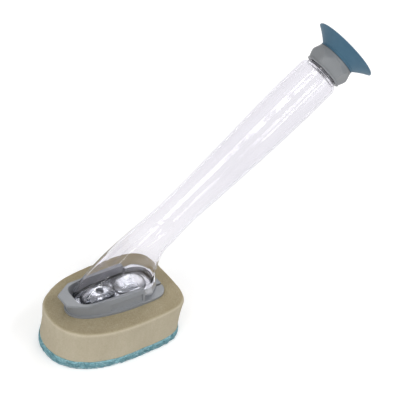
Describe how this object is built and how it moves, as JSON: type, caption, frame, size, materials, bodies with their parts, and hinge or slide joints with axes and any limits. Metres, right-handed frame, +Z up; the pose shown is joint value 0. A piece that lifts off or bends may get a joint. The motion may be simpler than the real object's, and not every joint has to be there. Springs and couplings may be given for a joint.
{
  "type": "dish wand",
  "caption": "Soap-filled dish wand: clear hollow handle on a slide-on sponge and scouring pad refill, with a six-sided screw cap and a suction cup.",
  "frame": {"origin": "on the scouring pad's flat underside, which stands on the ground, below the middle of the sponge's top", "axes": "+Z up, -X towards the nose of the head, +X the way the handle leans, Y across the head"},
  "size_m": [0.224, 0.0626, 0.1933],
  "materials": {
    "scouring_pad": "coarse non-woven",
    "sponge": "fine open cells",
    "cradle": "satin",
    "clear_foot": "clear, polished",
    "valve_rubber": "matt",
    "retainer": "satin",
    "clear_shell": "clear, polished",
    "cap": "satin",
    "gasket": "matt",
    "suction_rubber": "smooth, slightly glossy"
  },
  "bodies": {
    "wand": {"handle_shell": "clear_shell", "foot_sole": "clear_foot", "slit_valve": "valve_rubber", "valve_retainer": "retainer"},
    "refill": {"refill_cradle": "cradle", "sponge": "sponge", "scouring_pad": "scouring_pad"},
    "seal": {"cap_gasket": "gasket"},
    "cap": {"screw_cap": "cap"},
    "cup": {"suction_cup": "suction_rubber"}
  },
  "joints": [
    {"name": "refill_slide", "type": "slide", "parent": "wand", "child": "refill", "axis": [-1, 0, 0], "range_m": [0, 0.066]},
    {"name": "cap_lift", "type": "slide", "parent": "wand", "child": "seal", "axis": [0.788, 0, 0.6157], "range_m": [0, 0.00481]},
    {"name": "cap_turn", "type": "hinge", "parent": "seal", "child": "cap", "pos_m": [-0.0157, 0, 0.0352], "axis": [0.788, 0, 0.6157], "range_deg": [0, 540]},
    {"name": "suction_cup_spin", "type": "hinge", "parent": "cap", "child": "cup", "pos_m": [-0.0157, 0, 0.0352], "axis": [0.788, 0, 0.6157], "continuous": true}
  ],
  "couplings": [
    {"joint": "cap_lift", "follows": "cap_turn", "m_per_rad": 0.0005093}
  ]
}
